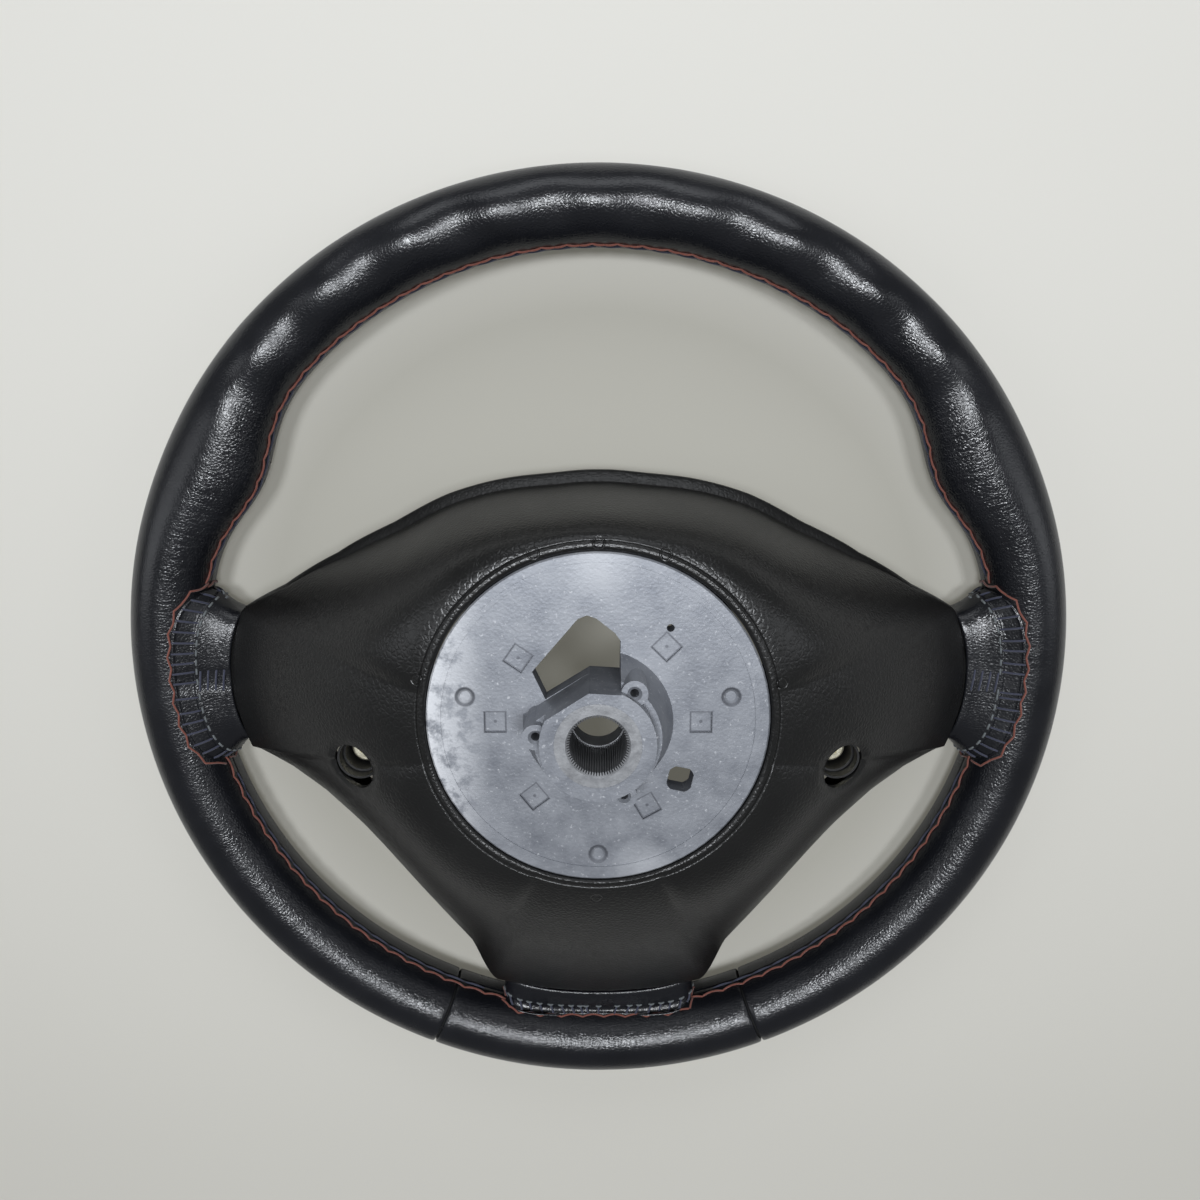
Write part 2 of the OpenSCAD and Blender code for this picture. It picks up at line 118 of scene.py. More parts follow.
def finished(piece, material, slotName, *nodes):
    piece.data.materials.clear()
    piece.data.materials.append(material)
    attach(piece, body)
    if nodes:
        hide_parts(*nodes)
    return piece


# shape of the rim
def fromTop(a):
    # angle from the top of the wheel, the same on both sides
    return abs((a - 90 + 540) % 360 - 180)


def swell(a):
    x = fromTop(a) - wheel["thumbAngle"]
    return wheel["thumbSwell"] * math.exp(-0.5 * (x / wheel["thumbSpread"]) ** 2)


def waves(a):
    left = wheel["fingerEnd"] - fromTop(a)
    if left < 0:
        return 0.0
    rise = 0.5 - 0.5 * math.cos(math.radians(360 * fromTop(a) / wheel["fingerPitch"]))
    return wheel["fingerDepth"] * rise * min(1, left / wheel["fingerFade"])


def rimPoint(a, b, sink=0.0):
    # a goes round the wheel and b round the rim's section, from its outer side over the top
    cb, sb = math.cos(math.radians(b)), math.sin(math.radians(b))
    half = (wheel["rimWidth"] + swell(a)) / 2
    mid = wheel["rimDiameter"] / 2 - half
    high = midHeight
    if sb > 0:
        # the waves are deepest on the inner side
        high -= waves(a) * sb * max(0, 0.6 - 0.4 * cb)
    square = wheel["squareness"] * math.sin(math.radians(2 * b)) ** 2
    push = 1 + square
    r = mid + (half - sink) * push * cb
    z = midHeight + (high - sink) * push * sb * (1 - square)
    return Vector((r * math.cos(math.radians(a)), r * math.sin(math.radians(a)), z))


def rimNormal(a, b):
    return (rimPoint(a, b, -1 * mm) - rimPoint(a, b)).normalized()


# outline of the shroud, as angle from the top and distance from the axis in millimetres
shroudOutline = [
    (0, 78.5), (14, 79.5), (27, 84), (40, 90.5), (54, 99), (66, 113), (75, 129), (81.8, 147), (84, 158),
    (101, 158), (104.2, 144), (108.7, 134), (115, 126), (124, 120.5), (134, 120.5), (146, 126), (156, 135),
    (163, 150),
]
# between these angles the bowed end of a spoke is the outline
spokeEnds = {"sideFrom": 84, "sideTo": 101, "bottomFrom": 163}
skinCurve = {"spokeFrom": 84 * mm, "spokeLength": 60 * mm, "brimFrom": 60, "brimFade": 22}


def curveValue(p0, p1, p2, p3, u):
    # smooth curve through p1 and p2
    return 0.5 * (2 * p1 + (p2 - p0) * u + (2 * p0 - 5 * p1 + 4 * p2 - p3) * u * u
                  + (3 * p1 - p0 - 3 * p2 + p3) * u ** 3)


def bowed(along, across, middle, halfWide):
    # distance from the axis to the bowed end of a spoke
    r = wheel["spokeEnd"] / along
    for repeat in range(4):  # settles to well under a tenth of a millimetre
        off = min(1.2, abs(r * across - middle) / halfWide)
        r = (wheel["spokeEnd"] - wheel["spokeBow"] * off * off) / along
    return r


def shroudRadius(t):
    limits = []
    sn, cs = math.sin(math.radians(t)), math.cos(math.radians(t))
    if sn > 0.05:
        limits.append(bowed(sn, cs, wheel["sideMiddle"], wheel["sideWide"] / 2))
    if cs < -0.05:
        limits.append(bowed(-cs, sn, 0, wheel["bottomWide"] / 2))
    if not (t > spokeEnds["bottomFrom"] or spokeEnds["sideFrom"] < t < spokeEnds["sideTo"]):
        last = len(shroudOutline) - 1
        i = max(k for k in range(last) if shroudOutline[k][0] <= t)
        near = [shroudOutline[max(0, min(last, i + k))] for k in (-1, 0, 1, 2)]
        u = (t - near[1][0]) / (near[2][0] - near[1][0])
        limits.append(curveValue(near[0][1], near[1][1], near[2][1], near[3][1], u) * mm)
    return min(limits)


def mix(a, b, s):
    return a + (b - a) * s


def soft(s):
    s = min(1, max(0, s))
    return s * s * (3 - 2 * s)


def alongSpoke(t):
    # 0 on the round part of the shroud, 1 out on a spoke
    return min(1, max(0, (shroudRadius(t) - skinCurve["spokeFrom"]) / skinCurve["spokeLength"]))


def brim(t):
    # the brim runs out toward the side spokes
    fade = soft((t - skinCurve["brimFrom"]) / skinCurve["brimFade"])
    return mix(wheel["brimWidth"], wheel["brimLeast"], fade)


def skinHeight(t, r, edge):
    # height of the shroud skin at a distance from the axis
    spoke = alongSpoke(t)
    share = min(1, max(0, (r - lipRadius) / (edge - lipRadius))) ** mix(1.25, 1, spoke)
    low, top = wheel["edgeHeight"] + wheel["brimRise"], faceHeight + wheel["lipRise"]
    return mix(low, top, 1 - share ** mix(2.6, 1.25, spoke))


# materials
def newMaterial(name):
    material = bpy.data.materials.new(name)
    material.use_nodes = True
    tree = material.node_tree
    return material, tree, tree.nodes["Principled BSDF"]


def link(tree, a, b):
    tree.links.new(a, b)


def maths(tree, operation, *values):
    node = tree.nodes.new("ShaderNodeMath")
    node.operation = operation
    for socket, value in zip(node.inputs, values):
        if isinstance(value, (int, float)):
            socket.default_value = value
        else:
            link(tree, value, socket)
    return node.outputs[0]


def apart(tree, a, b):
    return maths(tree, "ABSOLUTE", maths(tree, "SUBTRACT", a, b))


def noise(tree, vector, scale, detail=3, roughness=0.5):
    node = tree.nodes.new("ShaderNodeTexNoise")
    node.inputs["Scale"].default_value = scale
    node.inputs["Detail"].default_value = detail
    node.inputs["Roughness"].default_value = roughness
    link(tree, vector, node.inputs["Vector"])
    return node.outputs["Fac"]


def ramp(tree, value, low, high, toLow=0.0, toHigh=1.0):
    node = tree.nodes.new("ShaderNodeMapRange")
    node.inputs["From Min"].default_value = low
    node.inputs["From Max"].default_value = high
    node.inputs["To Min"].default_value = toLow
    node.inputs["To Max"].default_value = toHigh
    link(tree, value, node.inputs["Value"])
    return node.outputs["Result"]


def tinted(tree, factor, low, high):
    node = tree.nodes.new("ShaderNodeMix")
    node.data_type = "RGBA"
    link(tree, factor, node.inputs["Factor"])
    for value, socket in ((low, node.inputs["A"]), (high, node.inputs["B"])):
        if isinstance(value, tuple):
            socket.default_value = (*value, 1)
        else:
            link(tree, value, socket)
    return node.outputs["Result"]


def awayFrom(tree, vector, place):
    # distance from a point, seen along the axis
    flat = tree.nodes.new("ShaderNodeVectorMath")
    flat.operation = "MULTIPLY"
    flat.inputs[1].default_value = (1, 1, 0)
    link(tree, vector, flat.inputs[0])
    node = tree.nodes.new("ShaderNodeVectorMath")
    node.operation = "DISTANCE"
    node.inputs[1].default_value = (*place, 0)
    link(tree, flat.outputs["Vector"], node.inputs[0])
    return node.outputs["Value"]


def relief(tree, height, shader):
    # heights are in millimetres
    node = tree.nodes.new("ShaderNodeBump")
    node.inputs["Strength"].default_value = 1
    node.inputs["Distance"].default_value = mm
    link(tree, height, node.inputs["Height"])
    link(tree, node.outputs["Normal"], shader.inputs["Normal"])


def grainGroup():
    # cells of leather, bent by a noise, with narrow valleys between them
    group = bpy.data.node_groups.new("leatherGrain", "ShaderNodeTree")
    face = group.interface
    face.new_socket("Vector", in_out="INPUT", socket_type="NodeSocketVector")
    face.new_socket("Cell", in_out="INPUT", socket_type="NodeSocketFloat").default_value = 900.0
    face.new_socket("Height", in_out="OUTPUT", socket_type="NodeSocketFloat")
    start, end = group.nodes.new("NodeGroupInput"), group.nodes.new("NodeGroupOutput")
    warp = group.nodes.new("ShaderNodeTexNoise")
    warp.inputs["Scale"].default_value = 320
    warp.inputs["Detail"].default_value = 3
    add = group.nodes.new("ShaderNodeVectorMath")
    add.operation = "MULTIPLY_ADD"
    add.inputs[1].default_value = (1.4 * mm, 1.4 * mm, 1.4 * mm)
    cells = group.nodes.new("ShaderNodeTexVoronoi")
    cells.feature = "DISTANCE_TO_EDGE"
    link(group, start.outputs["Vector"], warp.inputs["Vector"])
    link(group, warp.outputs["Color"], add.inputs[0])
    link(group, start.outputs["Vector"], add.inputs[2])
    link(group, add.outputs["Vector"], cells.inputs["Vector"])
    link(group, start.outputs["Cell"], cells.inputs["Scale"])
    link(group, ramp(group, cells.outputs["Distance"], 0, 0.26), end.inputs["Height"])
    return group


def leatherMaterial(name, look):
    material, tree, shader = newMaterial(name)
    coords = tree.nodes.new("ShaderNodeTexCoord")
    place = coords.outputs["Object"]
    grain = tree.nodes.new("ShaderNodeGroup")
    grain.node_tree = leatherGrain
    grain.inputs["Cell"].default_value = look["cell"]
    link(tree, place, grain.inputs["Vector"])
    height = maths(tree, "MULTIPLY", grain.outputs["Height"], look["grain"])
    if "wrinkle" in look:
        worn = tree.nodes.new("ShaderNodeAttribute")
        worn.attribute_name = "worn"
        stretch = tree.nodes.new("ShaderNodeMapping")
        stretch.inputs["Scale"].default_value = (520, 110, 1)
        link(tree, coords.outputs["UV"], stretch.inputs["Vector"])
        folds = noise(tree, stretch.outputs["Vector"], 1, 2, 0.5)
        height = maths(tree, "MULTIPLY", height, ramp(tree, worn.outputs["Fac"], 0, 1, 0.3, 1.3))
        folds = maths(tree, "MULTIPLY", folds, worn.outputs["Fac"])
        height = maths(tree, "MULTIPLY_ADD", folds, look["wrinkle"], height)
        # shallow valley where the two edges of the leather meet
        split = tree.nodes.new("ShaderNodeSeparateXYZ")
        link(tree, coords.outputs["UV"], split.inputs["Vector"])
        away = apart(tree, split.outputs["Y"], look["valley"])
        height = maths(tree, "MULTIPLY_ADD", ramp(tree, away, 0, 1.1 * mm), look["valleyDepth"], height)
    for mark in look.get("marks", ()):
        ring = apart(tree, awayFrom(tree, place, mark), look["markRadius"])
        raised = ramp(tree, ring, 0.1 * mm, 0.45 * mm)
        height = maths(tree, "MULTIPLY_ADD", raised, look["markDepth"], height)
    cloud = noise(tree, place, look.get("cloud", 38), 5)
    link(tree, tinted(tree, cloud, look["dark"], look["light"]), shader.inputs["Base Color"])
    rough = ramp(tree, cloud, 0.25, 0.75, look["roughLow"], look["roughHigh"])
    link(tree, rough, shader.inputs["Roughness"])
    relief(tree, height, shader)
    shader.inputs["Specular IOR Level"].default_value = look["gloss"]
    return material


def oxideAndSheenAmount(tree, place, across, look):
    # painted reflection as a pale mottled patch at the left edge of the hub face, plus white oxide specks
    # and two pale patches
    side = ramp(tree, across, *look["sheenEdge"])
    spots = ramp(tree, noise(tree, place, 150, 8, 0.65), 0.6, 0.47)
    amount = maths(tree, "MULTIPLY", maths(tree, "MULTIPLY", side, spots), look["sheenStrength"])
    specks = ramp(tree, noise(tree, place, 620, 4, 0.7), 0.6, 0.72)
    amount = maths(tree, "MAXIMUM", amount, maths(tree, "MULTIPLY", specks, look["speckShare"]))
    for patch, reach in look["patches"]:
        near = ramp(tree, awayFrom(tree, place, patch), reach, reach * 0.2)
        amount = maths(tree, "MAXIMUM", amount, maths(tree, "MULTIPLY", near, look["patchShare"]))
    return amount


def paintedPocketShade(tree, place, height, look):
    # painted shade: dark square outlines with a dot in the pockets and dark rings round the dimples, on the
    # hub face alone
    pocketShadeMask = 0.0
    for x, y, turn in look["pockets"]:
        mark = tree.nodes.new("ShaderNodeGroup")
        mark.node_tree = squareMark
        mark.inputs["Place"].default_value = (x, y, 0)
        mark.inputs["Turn"].default_value = math.radians(turn)
        link(tree, place, mark.inputs["Vector"])
        pocketShadeMask = maths(tree, "MAXIMUM", mark.outputs["Mask"], pocketShadeMask)
    for dimple in look["dimples"]:
        ring = apart(tree, awayFrom(tree, place, dimple), look["dimpleRadius"])
        pocketShadeMask = maths(tree, "MAXIMUM", ramp(tree, ring, 0.8 * mm, 0.3 * mm), pocketShadeMask)
    above = ramp(tree, height, faceHeight - 2 * mm, faceHeight - 1.2 * mm)
    below = ramp(tree, height, faceHeight + 1.5 * mm, faceHeight + 0.7 * mm)
    onFace = maths(tree, "MULTIPLY", above, below)
    return maths(tree, "MULTIPLY", maths(tree, "MULTIPLY", pocketShadeMask, onFace), look["pocketShadeStrength"])


def metalMaterial(name, look):
    material, tree, shader = newMaterial(name)
    coords = tree.nodes.new("ShaderNodeTexCoord")
    place = coords.outputs["Object"]
    cloud = noise(tree, place, look["cloud"], 6, 0.62)
    colour = tinted(tree, ramp(tree, cloud, 0.3, 0.7), look["dark"], look["light"])
    rough = ramp(tree, cloud, 0.25, 0.75, look["roughLow"], look["roughHigh"])
    if "paleOxideAndSheen" in look:
        split = tree.nodes.new("ShaderNodeSeparateXYZ")
        link(tree, place, split.inputs["Vector"])
        amount = oxideAndSheenAmount(tree, place, split.outputs["X"], look)
        # pale colour over the hub face: painted reflection at the left edge, with oxide specks and two pale
        # patches
        colour = tinted(tree, amount, colour, look["paleOxideAndSheen"])
        rough = maths(tree, "MULTIPLY_ADD", amount, look["oxideAndSheenRough"], rough)
        # painted shade in the pockets and dimples darkens the base colour
        colour = tinted(tree, paintedPocketShade(tree, place, split.outputs["Z"], look), colour, look["pocketShadeColour"])
    link(tree, colour, shader.inputs["Base Color"])
    link(tree, rough, shader.inputs["Roughness"])
    pits = noise(tree, place, look["pits"], 5)
    relief(tree, maths(tree, "MULTIPLY", pits, look["pitHeight"]), shader)
    shader.inputs["Metallic"].default_value = look["metal"]
    return material


squareLook = {"halfSide": 3.5 * mm, "lineFull": 0.2 * mm, "lineNone": 0.5 * mm,
              "dotFull": 0.4 * mm, "dotNone": 0.7 * mm}


def squareGroup():
    # mask of a thin square outline with a dot in its middle, where the hub face gets painted shade
    group = bpy.data.node_groups.new("squareMark", "ShaderNodeTree")
    face = group.interface
    face.new_socket("Vector", in_out="INPUT", socket_type="NodeSocketVector")
    face.new_socket("Place", in_out="INPUT", socket_type="NodeSocketVector")
    face.new_socket("Turn", in_out="INPUT", socket_type="NodeSocketFloat")
    face.new_socket("Mask", in_out="OUTPUT", socket_type="NodeSocketFloat")
    start, end = group.nodes.new("NodeGroupInput"), group.nodes.new("NodeGroupOutput")
    spin = group.nodes.new("ShaderNodeVectorRotate")
    spin.rotation_type = "Z_AXIS"
    spin.invert = True
    link(group, start.outputs["Vector"], spin.inputs["Vector"])
    link(group, start.outputs["Place"], spin.inputs["Center"])
    link(group, start.outputs["Turn"], spin.inputs["Angle"])
    local = group.nodes.new("ShaderNodeVectorMath")
    local.operation = "SUBTRACT"
    link(group, spin.outputs["Vector"], local.inputs[0])
    link(group, start.outputs["Place"], local.inputs[1])
    split = group.nodes.new("ShaderNodeSeparateXYZ")
    link(group, local.outputs["Vector"], split.inputs["Vector"])
    across, along = (maths(group, "ABSOLUTE", split.outputs[axis]) for axis in "XY")
    away = apart(group, maths(group, "MAXIMUM", across, along), squareLook["halfSide"])
    line = ramp(group, away, squareLook["lineNone"], squareLook["lineFull"])
    middle = awayFrom(group, local.outputs["Vector"], (0, 0))
    dot = ramp(group, middle, squareLook["dotNone"], squareLook["dotFull"])
    link(group, maths(group, "MAXIMUM", line, dot), end.inputs["Mask"])
    return group


def polar(r, a):
    return r * math.cos(math.radians(a)), r * math.sin(math.radians(a))


leatherGrain = grainGroup()
squareMark = squareGroup()
rimLeather = leatherMaterial("rimLeather", {
    "cell": 820, "grain": 0.08, "wrinkle": 0.42, "valley": 0.0494, "valleyDepth": 0.3, "cloud": 60,
    "dark": (0.0042, 0.0046, 0.006), "light": (0.0095, 0.0102, 0.013),
    "roughLow": 0.2, "roughHigh": 0.3, "gloss": 0.5})
shroudSkin = leatherMaterial("shroudSkin", {
    "cell": 560, "grain": 0.06, "markRadius": 1.8 * mm, "markDepth": 0.25,
    "marks": [polar(r * mm, a) for r, a in (
        (60.5, 110), (60.1, 89.8), (60.5, 69), (61.4, 166.2), (62.1, 12.4), (66.3, -90.5))],
    "dark": (0.0052, 0.0052, 0.0051), "light": (0.0098, 0.0098, 0.0095),
    "roughLow": 0.27, "roughHigh": 0.37, "gloss": 0.46})
castAlloy = metalMaterial("castAlloy", {
    "cloud": 75, "dark": (0.16, 0.17, 0.193), "light": (0.27, 0.281, 0.305),
    "roughLow": 0.4, "roughHigh": 0.55, "pits": 900, "pitHeight": 0.08, "metal": 0.42,
    # pale colour, then the left edge painted reflection and the roughness it adds
    "paleOxideAndSheen": (0.7, 0.71, 0.73), "sheenEdge": (-36 * mm, -56 * mm), "sheenStrength": 0.8, "oxideAndSheenRough": 0.2,
    # the last two entries below are the colour and strength of the painted shade in the pockets and dimples
    "speckShare": 0.5, "patchShare": 0.28, "pocketShadeColour": (0.09, 0.095, 0.11), "pocketShadeStrength": 0.75,
    "pockets": [(*polar(34.2 * mm, a), turn) for a, turn in (
        (0, 0), (49, 45), (140, 55), (180, 0), (231, 38), (299, 30))],
    "dimples": [(0.044, 0.0088), (-0.044, 0.0088), (0.0, -0.0476)], "dimpleRadius": 2.9 * mm,
    "patches": [((0.0, 0.054), 0.014), ((0.016, -0.053), 0.012)]})
coreSteel = metalMaterial("coreSteel", {
    "cloud": 200, "dark": (0.25, 0.25, 0.26), "light": (0.35, 0.35, 0.36), "roughLow": 0.4, "roughHigh": 0.5,
    "pits": 1400, "pitHeight": 0.04, "metal": 0.9})
bushSteel = metalMaterial("bushSteel", {
    "cloud": 300, "dark": (0.2, 0.204, 0.214), "light": (0.3, 0.305, 0.315),
    "roughLow": 0.35, "roughHigh": 0.5, "pits": 1400, "pitHeight": 0.04, "metal": 0.5})
zincPlate = metalMaterial("zincPlate", {
    "cloud": 500, "dark": (0.5, 0.46, 0.33), "light": (0.75, 0.72, 0.58), "roughLow": 0.3, "roughHigh": 0.45,
    "pits": 1500, "pitHeight": 0.03, "metal": 0.7})
springSteel = metalMaterial("springSteel", {
    "cloud": 500, "dark": (0.3, 0.3, 0.32), "light": (0.5, 0.5, 0.52), "roughLow": 0.3, "roughHigh": 0.4,
    "pits": 1500, "pitHeight": 0.03, "metal": 0.9})
blackPlastic = leatherMaterial("blackPlastic", {
    "cell": 2400, "grain": 0.015, "dark": (0.008, 0.008, 0.008), "light": (0.013, 0.013, 0.013),
    "roughLow": 0.4, "roughHigh": 0.5, "gloss": 0.45})
blackFoam = leatherMaterial("foam", {
    "cell": 1600, "grain": 0.06, "dark": (0.012, 0.012, 0.012), "light": (0.02, 0.02, 0.02),
    "roughLow": 0.8, "roughHigh": 0.9, "gloss": 0.2})


def threadMaterial(name, dark, light):
    material, tree, shader = newMaterial(name)
    coords = tree.nodes.new("ShaderNodeTexCoord")
    twist = noise(tree, coords.outputs["Object"], 2200)
    link(tree, tinted(tree, twist, dark, light), shader.inputs["Base Color"])
    relief(tree, maths(tree, "MULTIPLY", twist, 0.12), shader)
    shader.inputs["Roughness"].default_value = 0.7
    shader.inputs["Sheen Weight"].default_value = 0.3
    return material


rustThread = threadMaterial("rustThread", (0.1, 0.024, 0.015), (0.22, 0.06, 0.036))
slateThread = threadMaterial("slateThread", (0.012, 0.014, 0.03), (0.035, 0.04, 0.075))
paleThread = threadMaterial("paleThread", (0.07, 0.08, 0.085), (0.15, 0.165, 0.17))
print("materials made")


# leather of the rim
rimLook = {
    "sectionSteps": 96, "stepAngle": 0.75, "edgeRoll": 1.1 * mm, "wall": 1.25 * mm, "sectionLength": 0.1,
    # shares of the roll and how far the leather has sunk there
    "edgeEnds": ((0, 0.9 * mm), (0.12, 0.42 * mm), (0.45, 0.12 * mm)),
    # the worn band, as angles round the wheel and round the section
    "wornAngle": 66, "wornSpread": 22, "innerAngle": 142, "innerSpread": 62,
}


def rimLeatherPiece(name, a0, a1, *nodes):
    steps = int(round((a1 - a0) / rimLook["stepAngle"]))
    roll = math.degrees(rimLook["edgeRoll"] / (wheel["rimDiameter"] / 2))
    # the two ends turn down into the groove
    ends = [(a0 + roll * share, sink) for share, sink in rimLook["edgeEnds"]]
    angles = [a0 + (a1 - a0) * i / steps for i in range(steps + 1)]
    rows = ends + [(a, 0.0) for a in angles if a0 + roll * 0.9 < a < a1 - roll * 0.9]
    rows += [(a1 - (a - a0), sink) for a, sink in reversed(ends)]
    rows += [(a, rimLook["wall"]) for a, sink in reversed(rows)]
    n = rimLook["sectionSteps"]
    points, uvs, worn = [], [], []
    for a, sink in rows:
        thumb = math.exp(-((fromTop(a) - rimLook["wornAngle"]) / rimLook["wornSpread"]) ** 2)
        for k in range(n):
            b = 360 * k / n
            points.append(rimPoint(a, b, sink))
            uvs.append((math.radians(a) * wheel["rimDiameter"] / 2, b / 360 * rimLook["sectionLength"]))
            inner = soft(1 - abs((b - rimLook["innerAngle"] + 180) % 360 - 180) / rimLook["innerSpread"])
            worn.append(0.05 + 0.9 * inner * (0.35 + 0.65 * thumb))
    piece = meshObject(name, points, gridFaces(len(rows), n, True, True))
    surfaceMap(piece, uvs)
    layer = piece.data.attributes.new("worn", "FLOAT", "POINT")
    layer.data.foreach_set("value", worn)
    outward(piece)
    return finished(piece, rimLeather, "rim_leather", *nodes)


gapAngle = math.degrees(wheel["grooveWidth"] / (wheel["rimDiameter"] / 2))
lowerHalf = wheel["lowerHalfAngle"]
rimLeatherPiece("rimLeatherUpper", -90 + lowerHalf, 270 - lowerHalf, "leather_upper")
rimLeatherPiece("rimLeatherLower", 270 - lowerHalf + gapAngle, 270 + lowerHalf - gapAngle, "leather_lower")
print("rim leather made")


# moulded shroud
shroudLook = {
    "rays": 480, "rows": 62, "crowd": 0.92, "fineRows": 13, "fineStep": 0.24 * mm, "fineFrom": 1.4 * mm,
    "grooveAt": 60.6 * mm, "grooveDepth": 0.45 * mm, "grooveWidth": 0.34 * mm,
    "wellSoft": 3.2 * mm, "wellDrop": 1.3 * mm, "skirt": 3 * mm, "sharp": 42,
    # distances from the lip and heights over the hub face
    "lipShape": ((0, -0.6 * mm), (0.3 * mm, 0.05 * mm), (0.9 * mm, 0.33 * mm)),
    # shares of the brim's width and heights over the parting edge
    "brimShape": ((0.93, 2.65 * mm), (0.78, 2.4 * mm), (0.17, 0.6 * mm), (0.05, 0)),
    "innerShares": (0.96, 0.88, 0.76, 0.62, 0.48, 0.34, 0.22, 0.12, 0.05),
    # middle and size of the openings for the arms
    "sideArm": ((145 * mm, 2 * mm, 13.25 * mm), (24 * mm, 24 * mm, 18.5 * mm)),
    "bottomArm": ((19 * mm, -145 * mm, 13.25 * mm), (18 * mm, 24 * mm, 18.5 * mm)),
}


def wellDrop(x, y):
    # the skin rounds down into each screw well
    away = math.hypot(abs(x) - wheel["screwX"], y + wheel["screwY"]) - wheel["wellWidth"] / 2
    return shroudLook["wellDrop"] * (1 - min(1, max(0, away / shroudLook["wellSoft"]))) ** 2


def cutterBox(middle, size):
    bpy.ops.mesh.primitive_cube_add(size=1, location=middle)
    box = bpy.context.object
    box.scale = size
    return box


def shroudCutters():
    made = []
    depth = 200 * mm
    for side in (-1, 1):
        middle = (side * wheel["screwX"], -wheel["screwY"], wheel["earHeight"] + depth / 2)
        radius = wheel["wellWidth"] / 2
        bpy.ops.mesh.primitive_cylinder_add(vertices=72, radius=radius, depth=depth, location=middle)
        made.append(bpy.context.object)
        for (x, y, z), size in (shroudLook["sideArm"], shroudLook["bottomArm"]):
            made.append(cutterBox((side * x, y, z), size))
    bpy.ops.object.select_all(action="DESELECT")
    for item in made:
        item.select_set(True)
    bpy.context.view_layer.objects.active = made[0]
    bpy.ops.object.join()
    return made[0]


def skinProfile(t, ca, sa, skinEnd):
    # from the skirt inside the lip out to the brim
    rows, near = shroudLook["rows"], lipRadius + shroudLook["fineFrom"]
    fine = [near + shroudLook["fineStep"] * k for k in range(shroudLook["fineRows"])]
    radii = fine + [mix(fine[-1], skinEnd, (k / rows) ** shroudLook["crowd"]) for k in range(1, rows + 1)]
    profile = [(lipRadius, faceHeight - shroudLook["skirt"])]
    profile += [(lipRadius + out, faceHeight + rise) for out, rise in shroudLook["lipShape"]]
    for r in radii:
        z = skinHeight(t, r, skinEnd)
        off = (r - shroudLook["grooveAt"]) / shroudLook["grooveWidth"]
        z -= shroudLook["grooveDepth"] * math.exp(-off ** 2)
        profile.append((r, z - wellDrop(r * ca, r * sa)))
    return profile


def edgeProfile(edge, b):
    # brim, parting edge and side wall down to the front
    low, high = wheel["frontHeight"], wheel["edgeHeight"]
    profile = [(edge - share * b, high + rise) for share, rise in shroudLook["brimShape"]]
    profile += [(edge, high - 0.8 * mm), (edge - 0.1 * mm, high - 3 * mm)]
    return profile + [(edge - 1.5 * mm, (low + high) / 2), (edge - 4 * mm, low)]


def innerProfile(t, edge, skinEnd):
    # plain inner face, from the front edge back to the skirt
    wall, low, high = wheel["shroudWall"], wheel["frontHeight"], wheel["edgeHeight"]
    profile = [(edge - 4 * mm - wall, low), (edge - 1.5 * mm - wall, (low + high) / 2)]
    profile.append((edge - wall, high - wall / 2))
    for s in shroudLook["innerShares"]:
        r = mix(lipRadius, skinEnd, s)
        inset = wall * min(1, max(0, (s - 0.3) * 2))
        profile.append((r - inset, skinHeight(t, r, skinEnd) - wall))
    return profile + [(lipRadius + 0.9 * mm, faceHeight - shroudLook["skirt"])]


def shroudPiece():
    rays = shroudLook["rays"]
    points = []
    for i in range(rays):
        a = 360 * i / rays
        t = fromTop(a)
        ca, sa = math.cos(math.radians(a)), math.sin(math.radians(a))
        edge, b = shroudRadius(t), brim(t)
        profile = skinProfile(t, ca, sa, edge - b) + edgeProfile(edge, b) + innerProfile(t, edge, edge - b)
        points += [(r * ca, r * sa, z) for r, z in profile]
    cols = len(points) // rays
    piece = meshObject("rearShroudSkin", points, gridFaces(rays, cols, True, True))
    outward(piece)
    cutter = shroudCutters()
    hole = piece.modifiers.new("wells", "BOOLEAN")
    hole.object = cutter
    hole.operation = "DIFFERENCE"
    hole.solver = "EXACT"
    plainMesh(piece)
    bpy.data.objects.remove(cutter)
    piece.data.polygons.foreach_set("use_smooth", [True] * len(piece.data.polygons))
    piece.data.set_sharp_from_angle(angle=math.radians(shroudLook["sharp"]))
    return finished(piece, shroudSkin, "shroud_skin", "rear_shroud")


shroudPiece()
print("shroud made")


# leather collars between the rim and the spoke covers
collarLook = {
    "around": 216, "round": 0.62, "leather": 0.55 * mm, "wall": 0.8 * mm, "worn": 0.2,
    "bead": 0.42 * mm, "beadAt": 0.952, "beadWidth": 0.022,
    "endTop": 26.6 * mm, "sideGap": 0.3 * mm, "standOff": 0.25 * mm,
    "slit": 0.8 * mm, "slitWidth": 0.6 * mm, "edgeAt": 0.612, "edgeWidth": 0.03,
}
# angles of the spoke and of the collar's loop on the rim, and the neck at the spoke cover
collars = {
    "collarRight": {"axis": 0, "centre": 358, "half": 12.5, "reach": 67, "flare": 0, "slitAt": -8 * mm,
                    "wide": wheel["sideWide"], "shift": wheel["sideMiddle"], "node": "collar_right"},
    "collarLeft": {"axis": 180, "centre": 182, "half": 12.5, "reach": 67, "flare": 0, "slitAt": 5.9 * mm,
                   "wide": wheel["sideWide"], "shift": -wheel["sideMiddle"], "node": "collar_left"},
    "collarBottom": {"axis": 270, "centre": 270, "half": 14.3, "reach": 24, "flare": 21, "slitAt": -1 * mm,
                     "wide": wheel["bottomWide"], "shift": 0, "node": "collar_bottom"},
}
